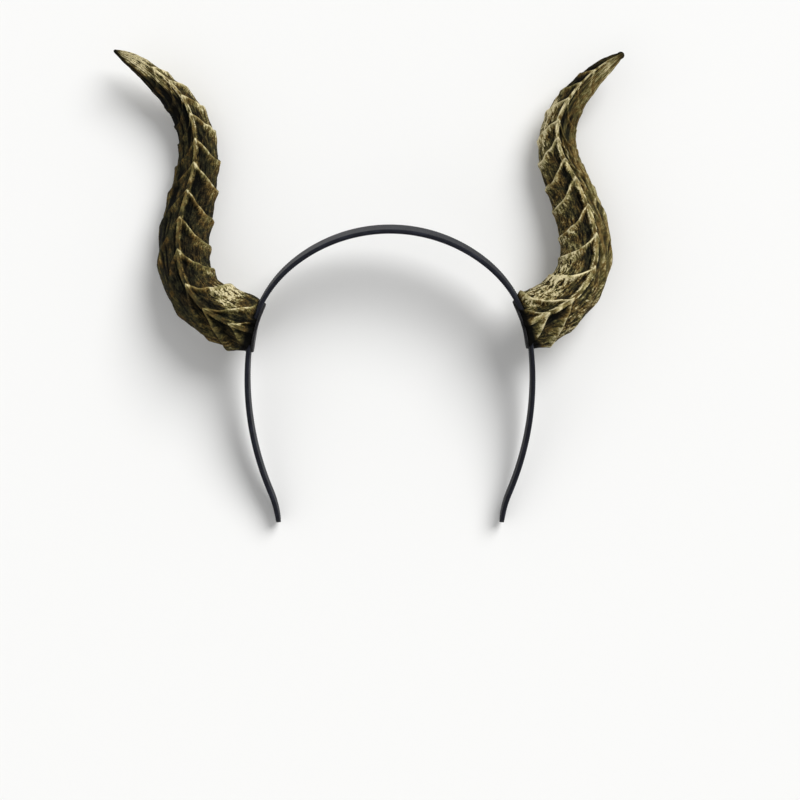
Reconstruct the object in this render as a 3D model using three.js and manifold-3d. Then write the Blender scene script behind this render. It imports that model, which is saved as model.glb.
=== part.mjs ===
// Devil horn headband: two ribbed foam horns on a plain fabric-covered hoop.
//
// The hoop lies in a shallow groove across the foot of each horn, and a felt pad glued to the
// foot from inside the hoop traps it there. Left and right are the wearer's.
//
// Units are millimetres. The headband lies on its back, as it rests on a table, with the plane
// z = 0 under it: +X is the wearer's left, +Y runs from the hoop's ends to its crown, and +Z is
// the wearer's front. The origin is under the middle of the whole outline.

import * as THREE from "three";
import { mergeVertices } from "three/addons/utils/BufferGeometryUtils.js";
import Module from "manifold-3d";

const wasm = await Module();
wasm.setup();

const degree = Math.PI / 180;
const glueGap = 0.3; // clearance left between pieces that touch

// Hoop: a flat strip bent to the head's outline, wide at the crown and narrow at its ends.
const hoopRadius = 82; // of the crown's bend, to the middle of the strip
const hoopThickness = 2.4;
const hoopCrownWidth = 20;
const hoopEndWidth = 11;
const hoopTaperFrom = 0.48; // where it starts to narrow, as a share of the way from crown to end
const hoopEdgeChamfer = 0.7;
const hoopTilt = 12; // degrees that the crown stands up from the table
const hoopFacet = 5; // length of each flat of the bend
const hoopEndFacets = [30, 55, 75]; // degrees round the rounded end at which it has a section
// The strip's middle line from the crown down one side: the radius of each arc, as a share of the
// crown's, and its turn in degrees.
const hoopArcs = [
  { part: "crown", radius: 1, turn: 40 },
  { part: "temple", radius: 0.8, turn: 42 },
  { part: "leg", radius: 2, turn: 30 },
  { part: "end", radius: 0.73, turn: -17 },
];

// Horns: length along the middle line from the hoop, greatest breadth of the foot, place of the
// foot on the hoop, as a share of the way from crown to end, and radius of the tip. The pair is
// cast by hand, and the left one is a little smaller and blunter.
const horns = {
  right: { side: -1, length: 192, footBreadth: 35, seat: 0.467, tipRadius: 1 },
  left: { side: 1, length: 180, footBreadth: 34.6, seat: 0.458, tipRadius: 1.9 },
};
const hornDepthShare = 0.95; // front to back, as a share of the breadth
const hornSquareness = 1.8; // exponent of the section's outline: 2 is an ellipse, less is a rhomb
const hornColumns = 32;
const hornTrim = 32; // length cast inside the hoop and cut away to the hoop's curve
const trimFallShare = 0.75; // fall of the surface's rows there, as a share of the way from its end
const tipFlatShare = 0.9; // where the tip's rounding ends in a flat, as a share of its radius
const footRounding = 5; // length over which the foot's rim rounds in
const footRimShare = 0.88; // breadth of the rim, as a share of the foot's

// Felt pads under the horns' feet.
const padThickness = 1.5;
const padInset = 1.2; // breadth of the foot's rim left bare round the pad
const padSides = 28;
// The pad's outline at each level, from the hoop inwards: size and depth as shares of the whole.
const padLayers = [
  { size: 0.35, depth: 0 },
  { size: 0.7, depth: 0 },
  { size: 1, depth: 0 },
  { size: 1, depth: 0.6 },
  { size: 0.96, depth: 1 },
  { size: 0.7, depth: 1 },
  { size: 0.35, depth: 1 },
];

// The horn's middle line and breadth, one row for each section. along is a share of the length,
// breadth a share of the foot's, and the leans are above the outward horizontal, in degrees.
// sweep is the lean towards the wearer's back.
const hornSections = [
  { along: 0.0, breadth: 1.0, sweep: -4, rightLean: 20, leftLean: 21 },
  { along: 0.08, breadth: 0.94, sweep: 4, rightLean: 25, leftLean: 34 },
  { along: 0.15, breadth: 0.87, sweep: 12, rightLean: 39, leftLean: 46 },
  { along: 0.22, breadth: 0.85, sweep: 15.5, rightLean: 62, leftLean: 64 },
  { along: 0.3, breadth: 0.85, sweep: 14.5, rightLean: 86, leftLean: 87 },
  { along: 0.4, breadth: 0.82, sweep: 10, rightLean: 99, leftLean: 105 },
  { along: 0.48, breadth: 0.76, sweep: 5, rightLean: 102, leftLean: 111 },
  { along: 0.56, breadth: 0.69, sweep: 0, rightLean: 97, leftLean: 111 },
  { along: 0.64, breadth: 0.62, sweep: -4, rightLean: 81, leftLean: 93 },
  { along: 0.72, breadth: 0.545, sweep: -7, rightLean: 62, leftLean: 70 },
  { along: 0.8, breadth: 0.455, sweep: -9, rightLean: 45, leftLean: 53 },
  { along: 0.9, breadth: 0.31, sweep: -10, rightLean: 37, leftLean: 41 },
  { along: 0.96, breadth: 0.19, sweep: -10, rightLean: 29, leftLean: 35 },
  { along: 1.0, breadth: 0.04, sweep: -10, rightLean: 27, leftLean: 32 },
];

// The ribs: where each one peaks along the keel, as a share of the length, and how far the keel
// that joins the peaks is turned outwards from the front there, in degrees.
const hornRibs = [
  { rightPeak: 0.055, leftPeak: 0.063, rightKeel: 12, leftKeel: 2 },
  { rightPeak: 0.127, leftPeak: 0.137, rightKeel: 11, leftKeel: 11 },
  { rightPeak: 0.2, leftPeak: 0.24, rightKeel: 5, leftKeel: 18 },
  { rightPeak: 0.303, leftPeak: 0.339, rightKeel: 8, leftKeel: 20 },
  { rightPeak: 0.404, leftPeak: 0.432, rightKeel: 13, leftKeel: 20 },
  { rightPeak: 0.492, leftPeak: 0.53, rightKeel: 11, leftKeel: 18 },
  { rightPeak: 0.577, leftPeak: 0.601, rightKeel: 7, leftKeel: 12 },
  { rightPeak: 0.648, leftPeak: 0.669, rightKeel: 3, leftKeel: 0 },
  { rightPeak: 0.72, leftPeak: 0.724, rightKeel: -7, leftKeel: -10 },
  { rightPeak: 0.775, leftPeak: 0.79, rightKeel: -19, leftKeel: -14 },
  { rightPeak: 0.83, leftPeak: 0.847, rightKeel: -28, leftKeel: -17 },
  { rightPeak: 0.886, leftPeak: 0.902, rightKeel: -33, leftKeel: -20 },
];
// Fall of a rib from the keel on the horn's inner side, in half breadths.
const innerSlopes = [
  { along: 0, right: 2.2, left: 0.8 },
  { along: 0.1, right: 2, left: 1.4 },
  { along: 0.2, right: 1.1, left: 1.1 },
  { along: 0.55, right: 1.05, left: 1.05 },
  { along: 0.8, right: 1.35, left: 1.35 },
  { along: 1, right: 1.45, left: 1.45 },
];
// The same on its outer side.
const outerSlopes = [
  { along: 0, right: 0.85, left: 0.95 },
  { along: 0.1, right: 0.95, left: 1.05 },
  { along: 0.22, right: 1.45, left: 1.7 },
  { along: 0.3, right: 1.6, left: 1.9 },
  { along: 1, right: 1.6, left: 1.9 },
];
const ribDepthShare = 0.11; // depth of the hollow above a rib, as a share of the half breadth
// One rib's profile, from its crest towards the next: place as a share of the spacing, and depth.
const ribProfile = [
  { at: 0, depth: 0 },
  { at: 0.16, depth: 1 },
  { at: 0.5, depth: 0.62 },
  { at: 0.8, depth: 0.2 },
];
// How deep the hollows are round the horn: degrees from the keel, and share of the full depth.
const hollowRound = [
  { from: 0, share: 0.2 },
  { from: 26, share: 1.2 },
  { from: 90, share: 0.6 },
  { from: 150, share: 0.4 },
  { from: 180, share: 0.3 },
];

const hornPaint = { color: 0x5f5330, roughness: 0.55, metalness: 0.35 };
const ribbonCloth = { color: 0x14151c, roughness: 0.8, metalness: 0 };
const blackFelt = { color: 0x101012, roughness: 0.95, metalness: 0 };

// A column of a table read between its rows along a smooth line through them.
function readColumn(rows, key, column, at) {
  const last = rows.length - 1;
  const slope = (i) => {
    const before = rows[Math.max(i - 1, 0)];
    const after = rows[Math.min(i + 1, last)];
    return (after[column] - before[column]) / (after[key] - before[key]);
  };
  if (at <= rows[0][key]) return rows[0][column];
  if (at >= rows[last][key]) return rows[last][column];
  const i = rows.findIndex((row) => row[key] > at) - 1;
  const span = rows[i + 1][key] - rows[i][key];
  const t = (at - rows[i][key]) / span;
  const start = rows[i][column];
  const rise = rows[i + 1][column] - start;
  const leave = slope(i) * span;
  const arrive = slope(i + 1) * span;
  return start + t * (leave + t * (3 * rise - 2 * leave - arrive + t * (leave + arrive - 2 * rise)));
}

// A closed skin over rings of equally many points, with each end closed by a fan. Each quad
// between two rings is split across its shorter diagonal.
function skin(rings) {
  const around = rings[0].length;
  const middles = [rings[0], rings[rings.length - 1]].map((ring) =>
    ring.reduce((sum, point) => sum.add(point), new THREE.Vector3()).divideScalar(around),
  );
  const points = [...rings.flat(), ...middles];
  const faces = [];
  rings.slice(1).forEach((_, j) => {
    for (let i = 0; i < around; i++) {
      const next = (i + 1) % around;
      const [a, b] = [j * around + i, j * around + next];
      const [c, d] = [a + around, b + around];
      const acrossA = points[a].distanceTo(points[d]) < points[b].distanceTo(points[c]);
      faces.push(...(acrossA ? [a, b, d, a, d, c] : [a, b, c, b, d, c]));
    }
  });
  const top = (rings.length - 1) * around;
  for (let i = 0; i < around; i++) {
    const next = (i + 1) % around;
    faces.push(points.length - 2, next, i, points.length - 1, top + i, top + next);
  }
  const geometry = new THREE.BufferGeometry().setFromPoints(points);
  geometry.setIndex(faces);
  return geometry;
}

function toSolid(geometry) {
  const bare = new THREE.BufferGeometry();
  bare.setAttribute("position", geometry.getAttribute("position"));
  bare.setIndex(geometry.index);
  const merged = mergeVertices(bare, 1e-4);
  const mesh = new wasm.Mesh({
    numProp: 3,
    vertProperties: new Float32Array(merged.attributes.position.array),
    triVerts: new Uint32Array(merged.index.array),
  });
  const solid = new wasm.Manifold(mesh);
  if (solid.volume() >= 0) return solid;
  mesh.triVerts.reverse();
  return new wasm.Manifold(mesh);
}

function toGeometry(solid) {
  const mesh = solid.getMesh();
  const geometry = new THREE.BufferGeometry();
  geometry.setAttribute("position", new THREE.BufferAttribute(mesh.vertProperties, 3));
  geometry.setIndex(new THREE.BufferAttribute(mesh.triVerts, 1));
  geometry.computeVertexNormals();
  return geometry;
}

function meshOf(name, solid, finish) {
  const mesh = new THREE.Mesh(toGeometry(solid), new THREE.MeshStandardMaterial(finish));
  mesh.name = name;
  return mesh;
}

const hoopPlacement = new THREE.Matrix4().makeRotationX(hoopTilt * degree);
const arcLength = (arc) => hoopRadius * arc.radius * Math.abs(arc.turn) * degree;
const hoopHalfLength = hoopArcs.reduce((sum, arc) => sum + arcLength(arc), 0);

// The point of the hoop's plane at a distance along the hoop from the crown, towards +X, and at
// an offset outwards from its middle line. A negative distance is on the other side.
function hoopPoint(distance, offset) {
  let left = Math.abs(distance);
  let heading = 0;
  const point = new THREE.Vector2(0, hoopRadius);
  for (const arc of hoopArcs) {
    const length = arcLength(arc);
    const share = Math.min(left / length, 1);
    const radius = hoopRadius * arc.radius * Math.sign(arc.turn);
    const turned = heading + arc.turn * degree * share;
    point.x += radius * (Math.sin(turned) - Math.sin(heading));
    point.y += radius * (Math.cos(turned) - Math.cos(heading));
    heading = turned;
    left -= length * share;
    if (left <= 0) break;
  }
  point.x += offset * Math.sin(heading);
  point.y += offset * Math.cos(heading);
  point.x *= Math.sign(distance) || 1;
  return point;
}

function hoopWidth(distance) {
  const along = Math.abs(distance) / hoopHalfLength;
  const taper = THREE.MathUtils.smoothstep(along, hoopTaperFrom, 1);
  const width = THREE.MathUtils.lerp(hoopCrownWidth, hoopEndWidth, taper);
  const past = (Math.abs(distance) - hoopHalfLength + width / 2) / (width / 2);
  return past > 0 ? width * Math.sqrt(Math.max(1 - past * past, 0)) : width;
}

// Distances along the hoop where it has a section, with a facet centred on the crown and closer
// sections where its ends round off.
function hoopStations() {
  const round = hoopEndWidth / 2;
  const straight = hoopHalfLength - round;
  const facets = Math.round(straight / hoopFacet);
  const half = Array.from({ length: facets }, (_, i) => ((i + 0.5) * straight) / (facets - 0.5));
  const rounded = hoopEndFacets.map((angle) => straight + round * Math.sin(angle * degree));
  const all = [...half, ...rounded];
  return [...all.map((d) => -d).reverse(), ...all];
}

// The hoop as a solid, grown by a clearance on every side.
function hoopSolid(clearance) {
  const face = hoopThickness / 2 + clearance;
  const side = face - Math.min(hoopEdgeChamfer, face / 2);
  const rings = hoopStations().map((distance) => {
    const edge = hoopWidth(distance) / 2 + clearance;
    const flat = edge - Math.min(hoopEdgeChamfer, edge / 2);
    const corners = [
      [flat, face], [edge, side], [edge, -side], [flat, -face],
      [-flat, -face], [-edge, -side], [-edge, side], [-flat, face],
    ];
    return corners.map(([across, offset]) => {
      const point = hoopPoint(distance, offset);
      return new THREE.Vector3(point.x, point.y, across);
    });
  });
  return toSolid(skin(rings));
}

// Everything inside the hoop up to its inner face, to cut the horns' feet to the hoop's curve.
function insideHoopSolid() {
  const reach = Math.max(horns.right.footBreadth, horns.left.footBreadth);
  const outline = hoopStations().map((distance) => hoopPoint(distance, -hoopThickness / 2));
  const geometry = new THREE.ExtrudeGeometry(new THREE.Shape(outline), {
    depth: 2 * reach,
    bevelEnabled: false,
  });
  geometry.translate(0, 0, -reach);
  return toSolid(geometry);
}

// An oval felt pad that lies against the hoop's inner face under a horn.
function padSolid({ side, footBreadth, seat }) {
  const outer = -hoopThickness / 2 - glueGap;
  const halfLength = (footBreadth * footRimShare) / 2 - padInset;
  const halfBreadth = (footBreadth * footRimShare * hornDepthShare) / 2 - padInset;
  const rings = padLayers.map(({ size, depth }) =>
    Array.from({ length: padSides }, (_, i) => {
      const angle = (2 * Math.PI * i) / padSides;
      const along = seat * hoopHalfLength + size * halfLength * Math.cos(angle);
      const point = hoopPoint(along * side, outer - depth * padThickness);
      return new THREE.Vector3(point.x, point.y, size * halfBreadth * Math.sin(angle));
    }),
  );
  return toSolid(skin(rings));
}

// The horn's middle line, walked in short steps from inside the hoop to the tip.
function hornLine(name) {
  const { side, length, seat } = horns[name];
  const step = 1;
  const direction = (distance) => {
    const lean = readColumn(hornSections, "along", name + "Lean", distance / length) * degree;
    const sweep = readColumn(hornSections, "along", "sweep", distance / length) * degree;
    return new THREE.Vector3(side * Math.cos(lean), Math.sin(lean), -Math.tan(sweep)).normalize();
  };
  const foot = hoopPoint(seat * hoopHalfLength * side, 0);
  const start = new THREE.Vector3(foot.x, foot.y, 0).applyMatrix4(hoopPlacement);
  const points = [start.addScaledVector(direction(0), -hornTrim)];
  for (let distance = -hornTrim; distance < length; distance += step) {
    const last = points[points.length - 1];
    points.push(last.clone().addScaledVector(direction(distance + step / 2), step));
  }
  const at = (distance) => {
    const place = THREE.MathUtils.clamp((distance + hornTrim) / step, 0, points.length - 1.001);
    const before = Math.floor(place);
    return points[before].clone().lerp(points[before + 1], place - before);
  };
  return { at, direction };
}

// The radius of a horn's section at an angle from the keel, for a half breadth of 1.
function sectionRadius(angle) {
  const across = Math.abs(Math.sin(angle));
  const deep = Math.abs(Math.cos(angle)) / hornDepthShare;
  return (across ** hornSquareness + deep ** hornSquareness) ** (-1 / hornSquareness);
}

// The ribs of one horn, with the length from each to the next.
function ribsOf(name) {
  const { length } = horns[name];
  const peaks = hornRibs.map((rib) => rib[name + "Peak"] * length);
  return peaks.map((peak, i) => ({
    peak,
    spacing: (peaks[i + 1] ?? length) - peak,
    keel: hornRibs[i][name + "Keel"],
  }));
}

// The surface of one horn, as a function of the place along the keel, the angle round from the
// keel and the depth of the hollow there. From the keel the surface's rows fall towards the
// foot on both sides, as the ribs do, in two flat planes.
function hornSurface(name, ribs) {
  const { side, length, footBreadth, tipRadius } = horns[name];
  const line = hornLine(name);
  const halfBreadth = (distance) => {
    const rim = THREE.MathUtils.smoothstep(distance, -hoopThickness / 2, footRounding);
    const share = readColumn(hornSections, "along", "breadth", distance / length);
    const half = (footBreadth / 2) * share * THREE.MathUtils.lerp(footRimShare, 1, rim);
    const past = THREE.MathUtils.clamp((distance - length) / tipRadius + 1, 0, tipFlatShare);
    return Math.max(half, tipRadius) * Math.sqrt(1 - past * past);
  };
  return (place, angle, depth) => {
    const slopes = Math.sin(angle) > 0 ? outerSlopes : innerSlopes;
    const slope = readColumn(slopes, "along", name, place / length);
    const fall = Math.min(
      slope * halfBreadth(place), trimFallShare * (place + hornTrim), length - place,
    );
    const distance = place - fall * Math.abs(Math.sin(angle));
    const fromKeel = Math.acos(Math.cos(angle)) / degree;
    const hollow = depth * ribDepthShare * readColumn(hollowRound, "from", "share", fromKeel);
    const radius = halfBreadth(distance) * (sectionRadius(angle) - hollow);
    const turn = angle + readColumn(ribs, "peak", "keel", place) * degree;

    const tangent = line.direction(distance);
    const front = new THREE.Vector3(0, 0, 1).addScaledVector(tangent, -tangent.z).normalize();
    const outward = new THREE.Vector3().crossVectors(tangent, front).multiplyScalar(side);
    return line.at(distance)
      .addScaledVector(front, radius * Math.cos(turn))
      .addScaledVector(outward, radius * Math.sin(turn));
  };
}

// A horn, with its foot cut to the hoop's curve and grooved for the hoop.
function hornSolid(name, cutters) {
  const ribs = ribsOf(name);
  const surface = hornSurface(name, ribs);
  const rows = [-hornTrim, 0, footRounding].map((place) => ({ place, depth: 0 }));
  for (const { peak, spacing } of ribs) {
    rows.push(...ribProfile.map(({ at, depth }) => ({ place: peak + at * spacing, depth })));
  }
  const { length, tipRadius } = horns[name];
  rows.push({ place: length - tipRadius / 2, depth: 0 }, { place: length, depth: 0 });
  const rings = rows.map(({ place, depth }) =>
    Array.from({ length: hornColumns }, (_, i) => surface(place, (2 * Math.PI * i) / hornColumns, depth)),
  );
  return cutters.reduce((solid, cutter) => solid.subtract(cutter), toSolid(skin(rings)));
}

const placed = (solid) => toSolid(toGeometry(solid).applyMatrix4(hoopPlacement));
const footCutters = [placed(hoopSolid(glueGap)), placed(insideHoopSolid())];

const headband = new THREE.Group();
headband.add(meshOf("horn_right", hornSolid("right", footCutters), hornPaint));
headband.add(meshOf("horn_left", hornSolid("left", footCutters), hornPaint));

const tilted = new THREE.Group();
tilted.rotation.x = hoopTilt * degree;
tilted.add(meshOf("hoop", hoopSolid(0), ribbonCloth));
tilted.add(meshOf("pad_right", padSolid(horns.right), blackFelt));
tilted.add(meshOf("pad_left", padSolid(horns.left), blackFelt));
headband.add(tilted);

// The headband is set down on the table, with the origin under the middle of its outline.
const outline = new THREE.Box3().setFromObject(headband, true);
const middle = outline.getCenter(new THREE.Vector3());
headband.position.set(-middle.x, -middle.y, -outline.min.z);

export default headband;
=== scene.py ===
# Devil horn headband, dressed: ribbed foam horns brushed with gold, on a ribbon-covered hoop.
# Lengths are in metres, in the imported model's frame. The headband lies on its back: +X is the
# wearer's left, +Y its crown, and +Z the wearer's front, up from the table.
import math
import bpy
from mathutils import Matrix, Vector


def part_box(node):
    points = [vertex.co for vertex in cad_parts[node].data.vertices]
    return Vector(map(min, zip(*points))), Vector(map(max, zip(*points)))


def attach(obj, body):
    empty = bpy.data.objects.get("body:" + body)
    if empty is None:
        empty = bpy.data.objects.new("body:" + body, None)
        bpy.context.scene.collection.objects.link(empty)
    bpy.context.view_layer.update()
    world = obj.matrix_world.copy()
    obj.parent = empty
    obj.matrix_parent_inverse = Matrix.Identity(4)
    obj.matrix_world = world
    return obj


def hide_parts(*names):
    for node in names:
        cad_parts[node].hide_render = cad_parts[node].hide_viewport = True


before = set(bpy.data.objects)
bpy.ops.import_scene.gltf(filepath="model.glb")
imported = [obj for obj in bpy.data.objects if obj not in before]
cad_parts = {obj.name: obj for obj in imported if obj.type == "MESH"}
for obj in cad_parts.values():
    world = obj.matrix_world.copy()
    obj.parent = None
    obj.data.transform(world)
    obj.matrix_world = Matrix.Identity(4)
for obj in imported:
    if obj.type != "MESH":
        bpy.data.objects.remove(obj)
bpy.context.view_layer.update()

from types import SimpleNamespace

import bmesh
import bpy
import numpy as np
from mathutils import Matrix, Vector, noise

view = bpy.context.scene

# Table, lamps and camera
# The headband lies on a pale table between soft lamps. The camera looks straight down at it,
# which is the photograph's front view of it, and stands where the photograph's camera stood.
PHOTO_SIDE = 800  # pixels
METRES_PER_PIXEL = 0.00054  # at the height of the horns
HOOP_MIDDLE_PIXEL = 390  # across the photograph
HOOP_ENDS_PIXEL = 524  # down the photograph
HORN_HEIGHT = 0.025
CAMERA_DISTANCE = 1.4
TABLE_COLOUR = (0.86, 0.86, 0.85, 1.0)
TABLE_REACH = 20.0  # from its middle to its edges, so that its far edge is out of view
ROOM_LIGHT = 0.38
# The lamps stand so far off that only their direction and their breadth in degrees matter.
LAMPS = [
    dict(name="key", place=(0.75, 0.9, 1.15), wide=36, strength=2.8),
    dict(name="fill", place=(-1.0, -0.3, 1.4), wide=70, strength=0.45),
]


def lit_and_seen():
    hoop_low, hoop_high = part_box("hoop")
    aim = Vector((
        (hoop_low[0] + hoop_high[0]) / 2 + (PHOTO_SIDE / 2 - HOOP_MIDDLE_PIXEL) * METRES_PER_PIXEL,
        hoop_low[1] + (HOOP_ENDS_PIXEL - PHOTO_SIDE / 2) * METRES_PER_PIXEL,
        HORN_HEIGHT,
    ))
    lens = bpy.data.cameras.new("camera")
    lens.angle = 2 * math.atan(PHOTO_SIDE / 2 * METRES_PER_PIXEL / CAMERA_DISTANCE)
    camera = bpy.data.objects.new("camera", lens)
    camera.location = aim + Vector((0, 0, CAMERA_DISTANCE))
    view.collection.objects.link(camera)
    view.camera = camera
    for lamp in LAMPS:
        light = bpy.data.lights.new(lamp["name"], "SUN")
        light.angle = math.radians(lamp["wide"])
        light.energy = lamp["strength"]
        stand = bpy.data.objects.new(lamp["name"], light)
        stand.location = lamp["place"]
        stand.rotation_euler = (-stand.location).to_track_quat("-Z", "Y").to_euler()
        view.collection.objects.link(stand)


def table():
    corners = [
        (x * TABLE_REACH, y * TABLE_REACH, 0) for x, y in ((-1, -1), (1, -1), (1, 1), (-1, 1))
    ]
    sheet = bpy.data.meshes.new("table")
    sheet.from_pydata(corners, [], [(0, 1, 2, 3)])
    top = bpy.data.objects.new("table", sheet)
    view.collection.objects.link(top)
    paint = bpy.data.materials.new("table_paint")
    paint.use_nodes = True
    shader = paint.node_tree.nodes["Principled BSDF"]
    shader.inputs["Base Color"].default_value = TABLE_COLOUR
    shader.inputs["Roughness"].default_value = 0.7
    sheet.materials.append(paint)


view.view_settings.view_transform = "Standard"
view.world = bpy.data.worlds.new("studio")
view.world.use_nodes = True
view.world.node_tree.nodes["Background"].inputs["Color"].default_value = (1, 1, 1, 1)
view.world.node_tree.nodes["Background"].inputs["Strength"].default_value = ROOM_LIGHT
lit_and_seen()
table()

# Hoop
# A springy plastic strip bent to a horseshoe, and covered from end to end with black ribbed
# ribbon that is glued round it. Its cords run across the strip, and its ends are round.
HOOP_RADIUS = 0.082
HOOP_THICKNESS = 0.0024
HOOP_CROWN_WIDTH = 0.020
HOOP_END_WIDTH = 0.011
HOOP_TAPER_FROM = 0.48  # as a share of the way from its crown to its end
HOOP_TILT = math.radians(12)
# The hoop's arcs from its crown to an end: radii as shares of HOOP_RADIUS, and turns in degrees.
HOOP_ARCS = [
    dict(radius=1.0, turn=40),
    dict(radius=0.8, turn=42),
    dict(radius=2.0, turn=30),
    dict(radius=0.73, turn=-17),
]
RIBBON_RIB = 0.0012  # from one cord of the ribbon to the next
RIBBON_RIB_HEIGHT = 0.00009
RIBBON_STEPS = 4  # rows of the mesh to one cord
RIBBON_CORNER = 0.0010  # radius of the strip's edges
RIBBON_TIP_CUT = 0.00002  # length left off each end, where the strip would have no width
THREAD_SIZE = 0.00035
THREAD_HEIGHT = 0.00006
WORN_PATCH_SIZE = 0.006
RIBBON_BLACK = (0.004, 0.0045, 0.008, 1.0)
RIBBON_GREY = (0.016, 0.018, 0.028, 1.0)


class Wire:
    """A node's output. Sums and products of wires and numbers add their Math nodes."""

    def __init__(self, tree, socket=None):
        self.tree = tree
        self.socket = socket

    def node(self, kind, settings=None, inputs=None, output=0):
        made = self.tree.nodes.new(kind)
        for name, value in (settings or {}).items():
            if name == "stops":
                for stop, (at, colour) in zip(ramp_stops(made, len(value)), value):
                    stop.position = at
                    stop.color = colour
            else:
                setattr(made, name, value)
        for name, value in (inputs or {}).items():
            if isinstance(value, Wire):
                self.tree.links.new(value.socket, made.inputs[name])
            else:
                made.inputs[name].default_value = value
        return Wire(self.tree, made.outputs[output])

    def math(self, operation, a, b=0.0):
        return self.node("ShaderNodeMath", {"operation": operation}, {0: a, 1: b})

    def __add__(self, other):
        return self.math("ADD", self, other)

    def __sub__(self, other):
        return self.math("SUBTRACT", self, other)

    def __rsub__(self, other):
        return self.math("SUBTRACT", other, self)

    def __mul__(self, other):
        return self.math("MULTIPLY", self, other)

    __radd__ = __add__
    __rmul__ = __mul__

    def step(self, low, high):
        """0 below low and 1 above high, with a smooth step between them."""
        return self.node(
            "ShaderNodeMapRange",
            {"interpolation_type": "SMOOTHSTEP"},
            {"Value": self, "From Min": low, "From Max": high},
        )

    def mix(self, low, high):
        """The colour low where this wire is 0, and high where it is 1."""
        return self.node("ShaderNodeMix", {"data_type": "RGBA"}, {0: self, 6: low, 7: high}, 2)

    def times(self, tint, share):
        """This colour multiplied by a tint, by a share of its strength."""
        settings = {"data_type": "RGBA", "blend_type": "MULTIPLY"}
        return self.node("ShaderNodeMix", settings, {0: share, 6: self, 7: tint}, 2)

    def attribute(self, name, output):
        return self.node("ShaderNodeAttribute", {"attribute_name": name}, {}, output)

    def stretched(self, factors):
        return self.node("ShaderNodeVectorMath", {"operation": "MULTIPLY"}, {0: self, 1: factors})

    def noise(self, size, detail=3.0, roughness=0.55):
        """Noise from 0 to 1 with features of one size, laid out by this vector."""
        return self.node(
            "ShaderNodeTexNoise",
            {},
            {"Vector": self, "Scale": 1 / size, "Detail": detail, "Roughness": roughness},
        )

    def bump(self, distance, strength):
        """The shading's normals on a surface as high as this wire times a distance."""
        inputs = {"Height": self, "Distance": distance, "Strength": strength}
        return self.node("ShaderNodeBump", {}, inputs)


def ramp_stops(node, count):
    stops = node.color_ramp.elements
    while len(stops) < count:
        stops.new(1.0)
    return stops


def finish(name, sockets, wired):
    """A material whose shader has set values on its sockets, and wires from a function's dict."""
    material = bpy.data.materials.new(name)
    material.use_nodes = True
    shader = material.node_tree.nodes["Principled BSDF"]
    for socket, value in sockets.items():
        shader.inputs[socket].default_value = value
    for socket, wire in wired(Wire(material.node_tree)).items():
        material.node_tree.links.new(wire.socket, shader.inputs[socket])
    return material


def skin(name, rings, extras=None):
    """A closed mesh over rings of points, rows by columns, with a face across each end."""
    rows, columns = rings.shape[:2]
    points = rings.reshape(-1, 3)
    row = np.arange(rows - 1)[:, None] * columns
    column = np.arange(columns)[None, :]
    after = (column + 1) % columns
    quads = np.stack([row + column, row + after, row + columns + after, row + columns + column], -1)
    faces = quads.reshape(-1, 4).tolist()
    faces.append(list(range(columns))[::-1])
    faces.append([(rows - 1) * columns + i for i in range(columns)])
    mesh = bpy.data.meshes.new(name)
    mesh.from_pydata(points.tolist(), [], faces)
    mesh.shade_smooth()
    for label, values in (extras or {}).items():
        kind, field = ("FLOAT_VECTOR", "vector") if values.ndim == 3 else ("FLOAT", "value")
        layer = mesh.attributes.new(label, kind, "POINT")
        layer.data.foreach_set(field, values.astype(np.float32).ravel())
    piece = bpy.data.objects.new(name, mesh)
    view.collection.objects.link(piece)
    return piece


def hoop_point(distance, offset):
    """Points at distances along the hoop from its crown, towards +X, and offsets outwards."""
    distance, offset = np.broadcast_arrays(distance, offset)
    left = np.abs(distance)
    heading = np.zeros(left.shape)
    x = np.zeros(left.shape)
    y = np.full(left.shape, HOOP_RADIUS)
    for arc in HOOP_ARCS:
        length = HOOP_RADIUS * arc["radius"] * math.radians(abs(arc["turn"]))
        share = np.clip(left / length, 0, 1)
        radius = HOOP_RADIUS * arc["radius"] * math.copysign(1, arc["turn"])
        turned = heading + math.radians(arc["turn"]) * share
        x += radius * (np.sin(turned) - np.sin(heading))
        y += radius * (np.cos(turned) - np.cos(heading))
        left = left - length * share
        heading = turned
    x += offset * np.sin(heading)
    y += offset * np.cos(heading)
    return x * np.where(distance < 0, -1, 1), y


hoop_half = sum(HOOP_RADIUS * a["radius"] * math.radians(abs(a["turn"])) for a in HOOP_ARCS)


def smoothstep(low, high, value):
    t = np.clip((value - low) / (high - low), 0, 1)
    return t * t * (3 - 2 * t)


def hoop_width(distance):
    """The strip's width, which tapers towards the hoop's round ends."""
    taper = smoothstep(HOOP_TAPER_FROM, 1, np.abs(distance) / hoop_half)
    width = HOOP_CROWN_WIDTH + (HOOP_END_WIDTH - HOOP_CROWN_WIDTH) * taper
    past = np.clip((np.abs(distance) - hoop_half + width / 2) / (width / 2), 0, 1)
    return width * np.sqrt(1 - past * past)


def stand_up(x, y, across):
    """Points of the hoop's own plane, with its tilt, before it is set in its place."""
    return np.stack([
        x,
        y * math.cos(HOOP_TILT) - across * math.sin(HOOP_TILT),
        y * math.sin(HOOP_TILT) + across * math.cos(HOOP_TILT),
    ], -1)


def strip_outline(corner_steps, face_steps):
    """Points round a strip's section: each one's corner, its turn there, and its place on a flat."""
    turns = np.linspace(0, math.pi / 2, corner_steps)
    flats = np.linspace(-1, 1, face_steps + 2)[1:-1]
    outline = []
    for side_across, side_face in ((1, 1), (-1, 1), (-1, -1), (1, -1)):
        first = side_across * side_face > 0
        for turn in turns if first else turns[::-1]:
            outline.append((side_across, side_face, math.cos(turn), math.sin(turn), 0.0))
        if first:
            outline += [(0, side_face, 0, 1, -side_face * flat) for flat in flats]
    return np.array(outline)


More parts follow.
